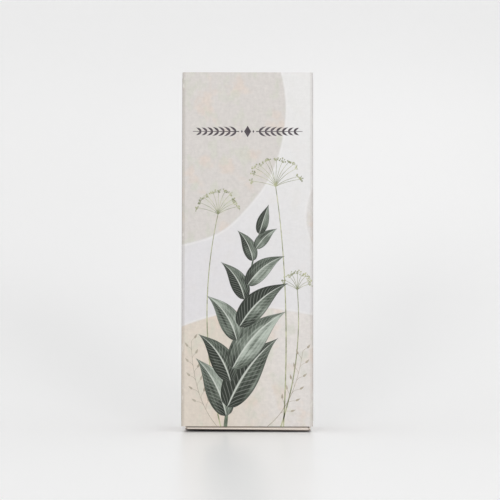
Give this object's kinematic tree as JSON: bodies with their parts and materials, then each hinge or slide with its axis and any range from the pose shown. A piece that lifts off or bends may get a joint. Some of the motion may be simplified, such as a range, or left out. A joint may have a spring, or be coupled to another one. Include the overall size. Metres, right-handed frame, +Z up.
{
  "type": "matchbox",
  "caption": "Tall sliding matchbox: a printed board sleeve over a folded board tray of long wooden matches, with a striking coat on each narrow side.",
  "frame": {"origin": "on the ground, under the middle of the sleeve, with the box standing on its end", "axes": "+Z up along the box's length, -Y out of the printed front panel, +X to the viewer's right"},
  "size_m": [0.0402, 0.02, 0.1096],
  "materials": {
    "printed_board": "matte",
    "plain_board": "matte",
    "striking_coat": "matte",
    "match_wood": "matte"
  },
  "bodies": {
    "sleeve": {"sleeve": "printed_board", "striking_strip_left": "striking_coat", "striking_strip_right": "striking_coat"},
    "tray": {"tray": "plain_board", "match_01": "match_wood", "match_02": "match_wood", "match_03": "match_wood", "match_04": "match_wood", "match_05": "match_wood", "match_06": "match_wood", "match_07": "match_wood", "match_08": "match_wood", "match_09": "match_wood", "match_10": "match_wood", "match_11": "match_wood", "match_12": "match_wood", "match_13": "match_wood", "match_14": "match_wood", "match_15": "match_wood", "match_16": "match_wood", "match_17": "match_wood", "match_18": "match_wood", "match_19": "match_wood", "match_20": "match_wood", "match_21": "match_wood", "match_22": "match_wood", "match_23": "match_wood", "match_24": "match_wood", "match_25": "match_wood", "match_26": "match_wood", "match_27": "match_wood", "match_28": "match_wood", "match_29": "match_wood", "match_30": "match_wood", "match_31": "match_wood", "match_32": "match_wood", "match_33": "match_wood", "match_34": "match_wood", "match_35": "match_wood", "match_36": "match_wood", "match_37": "match_wood", "match_38": "match_wood", "match_39": "match_wood", "match_40": "match_wood", "match_41": "match_wood", "match_42": "match_wood", "match_43": "match_wood", "match_44": "match_wood", "match_45": "match_wood", "match_46": "match_wood", "match_47": "match_wood", "match_48": "match_wood", "match_49": "match_wood", "match_50": "match_wood", "match_51": "match_wood", "match_52": "match_wood", "match_53": "match_wood"}
  },
  "joints": [
    {"name": "tray_slide", "type": "slide", "parent": "sleeve", "child": "tray", "axis": [0, 0, 1], "range_m": [-0.095, 0.095]}
  ]
}
